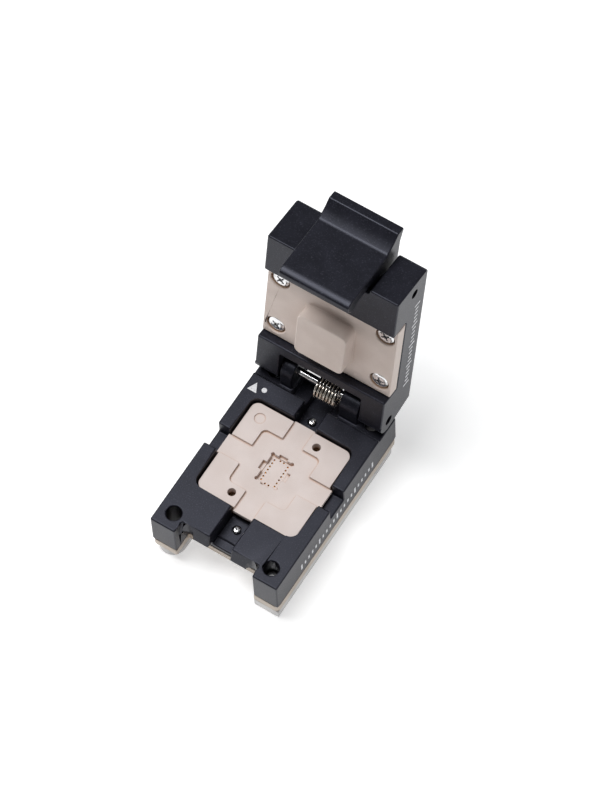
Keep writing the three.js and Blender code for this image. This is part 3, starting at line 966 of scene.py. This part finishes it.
@dataclass
class Springs:
    """Torsion spring on the hinge pin and the compression springs."""

    shop: Workshop
    pin_coil: Coil = field(default_factory=lambda: Coil("torsion_coil", 1.26, 0.14, 7.25, 3.18, 40))
    nest_coil: Coil = field(default_factory=lambda: Coil("nest_coil", 0.5, 0.1, 5.0, 2.3))
    latch_coil: Coil = field(default_factory=lambda: Coil("latch_coil", 0.42, 0.09, 5.0, 2.0))
    pin_coil_start: Point = (-0.83, 11.3, 9.85)
    first_leg: Point = (0.05, 1.5, -0.15)
    last_leg: Point = (-1.15, 0.12, 0.12)
    lid_leg_ends: tuple[float, float] = (-1.8, -0.23)
    lid_leg_at: tuple[float, float] = (8.59, 8.9)
    lid_leg_r: float = 0.161
    lid_leg_round: float = 0.05
    nest_coil_middle: Point = (5.1, 3.3, 5.05)
    latch_coil_at: Point = (2.6, -8.35, 13.75)

    def _torsion(self) -> bpy.types.Object:
        """The torsion spring; the coil and its legs are drawn along Z and then laid along X."""
        coil = self.pin_coil
        start = Matrix.Translation(self.shop.layout.at(*self.pin_coil_start))
        radius = coil.radius * MM
        first = Vector((radius, 0, 0))
        last = Vector((0, -radius, coil.length * MM))
        legs = [(first, first + Vector(self.first_leg) * MM), (last, last + Vector(self.last_leg) * MM)]
        mesh = coil.mesh(self.shop.finishes.get(Finish.SPRING), legs)
        mesh.transform(start @ Matrix.Rotation(math.pi / 2, 4, "Y"))
        return link_mesh("torsion_spring_wire", mesh)

    def _lid_leg(self) -> bpy.types.Object:
        """The end of the torsion spring that presses on the lid."""
        lay = self.shop.layout
        low, high = self.lid_leg_ends
        r, rounded = self.lid_leg_r, self.lid_leg_round
        profile = [
            (0, low), (r - rounded, low), (r, low + rounded),
            (r, high - rounded), (r - rounded, high), (0, high),
        ]
        mesh = mesh_of(lathe(profile, 20), "spring_leg_wire")
        mesh.transform(Matrix.Rotation(math.pi / 2, 4, "Y"))
        mesh.transform(lay.lid_turn() @ Matrix.Translation(lay.at(0, *self.lid_leg_at)))
        soften(mesh, 50)
        return link_mesh("spring_leg_wire", mesh)

    def _straight(self, coil: Coil, kind: str, word: str, place: Matrix, body: Body) -> str:
        """Makes one compression spring.

        Args:
            coil: its wire and turns.
            kind: nest or latch.
            word: left or right.
            place: turns and moves the coil from the origin to its seat, in metres.
            body: the body it rides on.

        Returns:
            The piece's name.
        """
        wire = self.shop.finishes.get(Finish.SPRING)
        mesh = coil.mesh(wire)
        mesh.transform(place)
        spring = link_mesh(f"{kind}_spring_wire_{word}", mesh)
        dress(spring, wire, body, [f"{kind}_spring_{word}"])
        return spring.name

    def build(self) -> list[str]:
        """Builds all the springs and returns their names."""
        lay = self.shop.layout
        wire = self.shop.finishes.get(Finish.SPRING)
        dress(self._torsion(), wire, Body.BASE, ["torsion_spring"])
        dress(self._lid_leg(), wire, Body.LID)
        names = ["torsion_spring_wire", "spring_leg_wire"]
        x, y, z = self.nest_coil_middle
        across, along, up = self.latch_coil_at
        laid = Matrix.Rotation(math.pi / 2, 4, "X")
        for side, word in ((-1, "left"), (1, "right")):
            foot = lay.at(side * x, lay.chip_y - side * y, z - self.nest_coil.length / 2)
            names.append(self._straight(self.nest_coil, "nest", word, Matrix.Translation(foot), Body.BASE))
            seat = lay.lid_turn() @ Matrix.Translation(lay.at(side * across, along, up)) @ laid
            names.append(self._straight(self.latch_coil, "latch", word, seat, Body.LID))
        return names


@dataclass
class LidShell:
    """Black lid frame and the pressure plate with its pusher."""

    shop: Workshop
    edge_mm: float = 0.2
    shortest_mm: float = 0.26
    plate_edge_mm: float = 0.2

    def build(self) -> list[str]:
        """Builds both and returns their names."""
        self.shop.moulding(
            "lid_frame", "lid_body", Finish.BLACK, Body.LID, Slot.BLACK, self.edge_mm, self.shortest_mm
        )
        self.shop.moulding(
            "pressure_plate", "pressure_plate_body", Finish.TAN, Body.LID, Slot.TAN, self.plate_edge_mm
        )
        return ["lid_body", "pressure_plate_body"]


@dataclass
class LatchLever:
    """Black latch lever."""

    shop: Workshop
    edge_mm: float = 0.16

    def build(self) -> list[str]:
        """Builds the lever and returns its name."""
        self.shop.moulding("latch", "latch_body", Finish.BLACK, Body.LATCH, Slot.BLACK, self.edge_mm)
        return ["latch_body"]


@dataclass
class CrossScrews:
    """The four cross-recessed screws in the pressure plate, one shape repeated by rule."""

    shop: Workshop
    x: float = 7.3
    ys: tuple[float, float] = (-4.5, 4.42)
    head_r: float = 1.2
    shaft_r: float = 0.65
    face: float = 9.37
    seat: float = 10.1
    end: float = 13.0
    tip: float = 0.2
    crown: Outline = ((0.5, 0.0), (0.78, 0.04), (0.93, 0.13), (1.0, 0.28))
    slot_arm: float = 0.64
    slot_half: float = 0.12
    slot_deep: float = 0.42
    middle_half: float = 0.24
    middle_deep: float = 0.36
    turns: tuple[float, float] = (0.1, 1.3)
    seed: int = 5

    def _tool(self, name: str, half_x: float, half_y: float, deep: float) -> bpy.types.Object:
        """A box that cuts the head to a depth under its face."""
        return block(name, (-half_x, -half_y, self.face - 1), (half_x, half_y, self.face + deep))

    def _template(self) -> bpy.types.Object:
        """One screw about Z with its head facing down, carved with its cross."""
        r, shaft = self.head_r, self.shaft_r
        profile = [
            (0, self.face), *((r * share, self.face + drop) for share, drop in self.crown),
            (r, self.seat), (shaft, self.seat), (shaft, self.end - self.tip),
            (shaft - self.tip, self.end), (0, self.end),
        ]
        screw = link_mesh("screw_template", mesh_of(lathe(profile, 48), "screw_template"))
        arm, half, middle = self.slot_arm, self.slot_half, self.middle_half
        tools = [
            self._tool("slot_a", arm, half, self.slot_deep),
            self._tool("slot_b", half, arm, self.slot_deep),
            self._tool("slot_c", middle, middle, self.middle_deep),
        ]
        carve(screw, tools)
        return screw

    def build(self) -> list[str]:
        """Builds the screws as one piece and returns its name."""
        growth = Growth("plate_screws")
        template = self._template()
        reach = growth.size("Half spacing", self.x * MM)
        source = growth.size("Screw", template, "NodeSocketObject")
        shape = growth.add("GeometryNodeObjectInfo", {}, {"Object": source}, "Geometry")
        lines = []
        for y in self.ys:
            middle = self.shop.layout.at(0, y, 0)
            start = growth.add(
                "ShaderNodeVectorMath",
                {"operation": "SUBTRACT"},
                {0: tuple(middle), 1: growth.add("ShaderNodeCombineXYZ", {}, {"X": reach})},
            )
            double = growth.add("ShaderNodeMath", {"operation": "MULTIPLY"}, {0: reach, 1: 2.0})
            step = growth.add("ShaderNodeCombineXYZ", {}, {"X": double})
            sizes = {"Count": 2, "Start Location": start, "Offset": step}
            lines.append(growth.add("GeometryNodeMeshLine", {"mode": "OFFSET"}, sizes))
        points = growth.add("GeometryNodeJoinGeometry", {}, {"Geometry": lines})
        least, most = self.turns
        limits = {2: least, 3: most, "Seed": self.seed}
        turn = growth.add("FunctionNodeRandomValue", {"data_type": "FLOAT"}, limits, 1)
        spin = growth.add("ShaderNodeCombineXYZ", {}, {"Z": turn})
        copies = growth.add(
            "GeometryNodeInstanceOnPoints", {}, {"Points": points, "Instance": shape, "Rotation": spin}
        )
        steel = self.shop.finishes.get(Finish.STEEL)
        mesh = growth.mesh(copies, steel)
        bpy.data.objects.remove(template)
        mesh.transform(self.shop.layout.lid_turn())
        soften(mesh, 30)
        piece = link_mesh("plate_screws", mesh)
        nodes = [f"plate_screw_{end}_{side}" for end in ("front", "back") for side in ("left", "right")]
        dress(piece, steel, Body.LID, nodes)
        return ["plate_screws"]


@dataclass(frozen=True)
class UprightScrew:
    """One kind of screw that stands in the base, with its front and back places, in millimetres."""

    name: str
    front: tuple[float, float]
    back: tuple[float, float]
    head: float
    seat: float
    low: float
    head_r: float
    shaft_r: float
    dome: float
    socket_r: float
    finish: Finish = Finish.STEEL


@dataclass
class BaseScrews:
    """The small screws in the base channels, nest and corners."""

    shop: Workshop
    nest_x: float = 2.76
    nest_y: float = 5.2
    clamp_x: float = 6.93
    clamp_y: float = 11.38
    dome_steps: int = 4
    flat_share: float = 0.25
    socket_deep: float = 0.4
    tip: tuple[float, float] = (0.05, 0.08)

    def _kinds(self) -> list[UprightScrew]:
        """Every kind of screw in the base."""
        chip_y = self.shop.layout.chip_y
        return [
            UprightScrew(
                "channel_screw", (0, -8.4), (0, 8.61),
                head=5.75, seat=5.13, low=1.6, head_r=0.5, shaft_r=0.35, dome=0.16, socket_r=0.2,
            ),
            UprightScrew(
                "nest_screw", (-self.nest_x, chip_y - self.nest_y), (self.nest_x, chip_y + self.nest_y),
                head=6.15, seat=5.74, low=3.0, head_r=0.48, shaft_r=0.3, dome=0.12, socket_r=0.2,
                # The nest screws' dark steel is painted shade of their deep holes.
                finish=Finish.SOCKET_STEEL,
            ),
            UprightScrew(
                "clamp_screw", (self.clamp_x, -self.clamp_y), (-self.clamp_x, self.clamp_y),
                head=5.5, seat=4.55, low=0.3, head_r=0.85, shaft_r=0.5, dome=0.12, socket_r=0.3,
            ),
        ]

    def _one(self, screw: UprightScrew, node: str, place: tuple[float, float]) -> bpy.types.Object:
        """Turns one screw with a domed head and cuts its hexagon socket.

        Args:
            screw: its sizes.
            node: the node that it stands for.
            place: x and y about the middle of the base.

        Returns:
            The screw, not yet dressed.
        """
        top, edge = screw.head, screw.head - screw.dome
        inset, rise = self.tip
        profile = [
            (0, screw.low), (screw.shaft_r - inset, screw.low), (screw.shaft_r, screw.low + rise),
            (screw.shaft_r, screw.seat), (screw.head_r, screw.seat),
        ]
        for i in range(self.dome_steps + 1):
            angle = math.pi / 2 * i / self.dome_steps
            share = self.flat_share + (1 - self.flat_share) * math.cos(angle)
            profile.append((screw.head_r * share, edge + (top - edge) * math.sin(angle)))
        profile.append((0, top))
        obj = link_mesh(node + "_turned", mesh_of(lathe(profile, 40), node))
        r, deep = screw.socket_r, top - self.socket_deep
        tool = mesh_of(lathe([(0, deep), (r, deep), (r, top + 1), (0, top + 1)], 6), "hex_tool")
        carve(obj, [link_mesh("hex_tool", tool)])
        obj.data.transform(Matrix.Translation(self.shop.layout.at(*place, 0)))
        soften(obj.data, 35)
        return obj

    def build(self) -> list[str]:
        """Builds every screw and returns the names."""
        names = []
        for screw in self._kinds():
            material = self.shop.finishes.get(screw.finish)
            for end, place in (("front", screw.front), ("back", screw.back)):
                node = f"{screw.name}_{end}"
                piece = dress(self._one(screw, node, place), material, Body.BASE, [node])
                names.append(piece.name)
        return names


@dataclass
class Pins:
    """Hinge pin and latch pin with rounded ends."""

    shop: Workshop
    half: float = 8.3
    hinge_r: float = 0.5
    latch_r: float = 0.5
    latch_y: float = -11.25
    latch_z: float = 12.15
    end_round: Outline = ((0.14, 0.0), (0.03, 0.06), (0.0, 0.16))

    def _pin(self, name: str, radius: float) -> bpy.types.Mesh:
        """A pin along X about the origin; its end is given by how far in and how far along it lies."""
        h = self.half
        profile = [(0, -h), *((radius - inward, along - h) for inward, along in self.end_round)]
        profile += [(r, -z) for r, z in reversed(profile)]
        mesh = mesh_of(lathe(profile, 40), name)
        mesh.transform(Matrix.Rotation(math.pi / 2, 4, "Y"))
        soften(mesh, 35)
        return mesh

    def build(self) -> list[str]:
        """Builds both pins and returns their names."""
        lay = self.shop.layout
        steel = self.shop.finishes.get(Finish.STEEL)
        hinge = self._pin("hinge_pin_turned", self.hinge_r)
        hinge.transform(Matrix.Translation(lay.at(0, lay.hinge_y, lay.hinge_z)))
        dress(link_mesh("hinge_pin_turned", hinge), steel, Body.BASE, ["hinge_pin"])
        latch = self._pin("latch_pin_turned", self.latch_r)
        latch.transform(lay.lid_turn() @ Matrix.Translation(lay.at(0, self.latch_y, self.latch_z)))
        dress(link_mesh("latch_pin_turned", latch), steel, Body.LID, ["latch_pin"])
        return ["hinge_pin_turned", "latch_pin_turned"]


@dataclass
class PrintedMarks:
    """Plain white printing: a pin-one mark on the base and a graduated row on each side face."""

    shop: Workshop
    thick: float = 0.016
    tick: float = 0.3
    pitch: float = 0.8
    height: float = 1.15
    ticks: int = 21
    tall_every: float = 5.0
    short_share: float = 0.62
    tall_extra: float = 0.45
    side_x: float = 9.0
    row_y: float = -8.0
    base_row_z: float = 4.4
    lid_row_z: float = 13.3
    triangle: Outline = ((-8.5, 7.35), (-7.2, 7.35), (-7.85, 8.65))
    dot: tuple[float, float] = (-6.55, 8.2)
    dot_r: float = 0.34
    dot_sides: int = 28
    sink: float = 0.01

    def _row(self, name: str, height_z: float) -> bpy.types.Mesh:
        """Ticks along Y on a face that looks along +X; every fifth one is tall.

        Args:
            name: the mesh's name.
            height_z: height of the row's middle, in millimetres about the base.

        Returns:
            A plain mesh.
        """
        growth = Growth(name)
        many = growth.size("Ticks", self.ticks, "NodeSocketInt")
        pitch = growth.size("Pitch", self.pitch * MM)
        step = growth.add("ShaderNodeCombineXYZ", {}, {"Y": pitch})
        start = self.shop.layout.at(self.side_x, self.row_y, height_z)
        sizes = {"Count": many, "Start Location": start, "Offset": step}
        line = growth.add("GeometryNodeMeshLine", {"mode": "OFFSET"}, sizes)
        size = Vector((self.thick, self.tick, self.height)) * MM
        bar = growth.add("GeometryNodeMeshCube", {}, {"Size": size})
        index = growth.add("GeometryNodeInputIndex")
        place = growth.add("ShaderNodeMath", {"operation": "MODULO"}, {0: index, 1: self.tall_every})
        first = growth.add("ShaderNodeMath", {"operation": "LESS_THAN"}, {0: place, 1: 0.5})
        shares = {0: first, 1: self.tall_extra, 2: self.short_share}
        tall = growth.add("ShaderNodeMath", {"operation": "MULTIPLY_ADD"}, shares)
        scale = growth.add("ShaderNodeCombineXYZ", {}, {"X": 1.0, "Y": 1.0, "Z": tall})
        bars = {"Points": line, "Instance": bar, "Scale": scale}
        copies = growth.add("GeometryNodeInstanceOnPoints", {}, bars)
        return growth.mesh(copies, self.shop.finishes.get(Finish.INK))

    def _pin_one(self) -> bpy.types.Mesh:
        """A triangle and a dot on the top of the base."""
        lay = self.shop.layout
        foot = lay.base_top - self.sink
        bm = bmesh.new()
        low = [bm.verts.new(lay.at(x, y, foot)) for x, y in self.triangle]
        x, y = self.dot
        ring = []
        for i in range(self.dot_sides):
            angle = 2 * math.pi * i / self.dot_sides
            place = lay.at(x + self.dot_r * math.cos(angle), y + self.dot_r * math.sin(angle), foot)
            ring.append(bm.verts.new(place))
        faces = [bm.faces.new(low), bm.faces.new(ring)]
        bmesh.ops.recalc_face_normals(bm, faces=faces)
        grown = bmesh.ops.extrude_face_region(bm, geom=faces)
        moved = [item for item in grown["geom"] if isinstance(item, bmesh.types.BMVert)]
        bmesh.ops.translate(bm, verts=moved, vec=(0, 0, self.thick * MM))
        bmesh.ops.recalc_face_normals(bm, faces=bm.faces)
        return mesh_of(bm, "pin_one_mark")

    def build(self) -> list[str]:
        """Prints the marks and returns their names."""
        ink = self.shop.finishes.get(Finish.INK)
        dress(link_mesh("pin_one_mark", self._pin_one()), ink, Body.BASE)
        base = self._row("base_side_marks", self.base_row_z)
        dress(link_mesh("base_side_marks", base), ink, Body.BASE)
        lid = self._row("lid_side_marks", self.lid_row_z)
        lid.transform(self.shop.layout.lid_turn())
        dress(link_mesh("lid_side_marks", lid), ink, Body.LID)
        return ["pin_one_mark", "base_side_marks", "lid_side_marks"]


# ----------------------------------------------------------------------------
# Studio
# ----------------------------------------------------------------------------


@dataclass
class Studio:
    """Floor, room light, one lamp and the camera."""

    layout: Layout
    azimuth_deg: float = 35.43
    elevation_deg: float = 63.15
    roll_deg: float = -3.48
    distance_mm: float = 526.0
    lens_mm: float = 194.9
    aim: Point = (-2.148, 9.365, 8.0)
    sensor_mm: float = 36.0
    room_colour: Colour = (0.96, 0.98, 1.0)
    room_fade: tuple[float, float, float, float] = (-0.9, 0.6, 0.13, 0.33)
    floor_low: Point = (-600, -600, -1.0)
    floor_high: Point = (600, 600, -0.05)
    paper_dark: Colour = (0.9, 0.9, 0.9)
    paper_light: Colour = (0.93, 0.93, 0.93)
    tooth_mm: float = 4.0
    lamp_at: Point = (-100, -10, 385)
    lamp_aim: Point = (0, 2, 12)
    lamp_mm: float = 200
    lamp_watts: float = 1.15

    def _camera(self) -> None:
        """Long lens from the front right, well above the socket."""
        a, e = math.radians(self.azimuth_deg), math.radians(self.elevation_deg)
        back = Vector((math.sin(a) * math.cos(e), -math.cos(a) * math.cos(e), math.sin(e)))
        right = Vector((math.cos(a), math.sin(a), 0.0))
        up = back.cross(right)
        roll = math.radians(self.roll_deg)
        right_r = right * math.cos(roll) + up * math.sin(roll)
        up_r = up * math.cos(roll) - right * math.sin(roll)
        place = self.layout.at(*self.aim) + back * self.distance_mm * MM
        data = bpy.data.cameras.new("camera")
        data.sensor_width = self.sensor_mm
        data.lens = self.lens_mm
        data.clip_start, data.clip_end = 0.01, 10.0
        camera = bpy.data.objects.new("camera", data)
        bpy.context.scene.collection.objects.link(camera)
        camera.matrix_world = Matrix(
            (
                (right_r.x, up_r.x, back.x, place.x),
                (right_r.y, up_r.y, back.y, place.y),
                (right_r.z, up_r.z, back.z, place.z),
                (0, 0, 0, 1),
            )
        )
        bpy.context.scene.camera = camera

    def _lamp(self) -> None:
        """Square area light above the socket."""
        data = bpy.data.lights.new("key_overhead", "AREA")
        data.shape = "SQUARE"
        data.size = self.lamp_mm * MM
        data.energy = self.lamp_watts
        light = bpy.data.objects.new("key_overhead", data)
        bpy.context.scene.collection.objects.link(light)
        light.location = Vector(self.lamp_at) * MM
        aim = self.layout.at(*self.lamp_aim)
        light.rotation_euler = (aim - light.location).to_track_quat("-Z", "Y").to_euler()

    def _floor(self) -> str:
        """White paper under the socket."""
        floor = block("studio_floor", self.floor_low, self.floor_high)
        r = Recipe("floor_paper")
        tooth = r.noise(r.place(), self.tooth_mm, 3.0)
        r.feed(
            Base_Color=r.mix(r.smooth(tooth, 0.3, 0.7), self.paper_dark, self.paper_light),
            Roughness=0.9,
            Specular_IOR_Level=0.1,
            Emission_Color=(1.0, 1.0, 1.0),
            Emission_Strength=0.45,
        )
        floor.data.materials.append(r.material)
        return floor.name

    def _room(self) -> None:
        """A room that is dim in front of the socket and brighter behind it."""
        world = bpy.data.worlds.new("studio_world")
        world.use_nodes = True
        tree = world.node_tree
        backdrop = tree.nodes["Background"]
        backdrop.inputs["Color"].default_value = (*self.room_colour, 1.0)
        where = tree.nodes.new("ShaderNodeTexCoord")
        parts = tree.nodes.new("ShaderNodeSeparateXYZ")
        fade = tree.nodes.new("ShaderNodeMapRange")
        fade.interpolation_type = "SMOOTHSTEP"
        for name, value in zip(("From Min", "From Max", "To Min", "To Max"), self.room_fade):
            fade.inputs[name].default_value = value
        tree.links.new(where.outputs["Generated"], parts.inputs[0])
        tree.links.new(parts.outputs["Y"], fade.inputs["Value"])
        tree.links.new(fade.outputs["Result"], backdrop.inputs["Strength"])
        bpy.context.scene.world = world

    def build(self) -> list[str]:
        """Builds the floor, the room, the lamp and the camera and returns the floor's name."""
        floor = self._floor()
        self._room()
        self._lamp()
        bpy.context.scene.view_settings.view_transform = "Standard"
        self._camera()
        return [floor]


def report(title: str, names: Sequence[str]) -> None:
    """Logs what a sub-assembly made."""
    LOG.info("%s: %s", title, ", ".join(names))


def main() -> None:
    """Builds every sub-assembly in order."""
    logging.basicConfig(level=logging.INFO, format="%(name)s %(message)s")
    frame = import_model()
    low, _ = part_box("base_frame")
    layout = Layout(shift_y=low.y / MM + BASE_HALF_LENGTH)
    shop = Workshop(frame["nodes"], layout)
    report("base", BaseStack(shop).build())
    report("nest", Nest(shop).build())
    report("contacts", ContactField(shop).build())
    report("springs", Springs(shop).build())
    report("lid", LidShell(shop).build())
    report("latch", LatchLever(shop).build())
    report("plate screws", CrossScrews(shop).build())
    report("base screws", BaseScrews(shop).build())
    report("pins", Pins(shop).build())
    report("printing", PrintedMarks(shop).build())
    report("studio", Studio(layout).build())


if __name__ == "__main__":
    main()
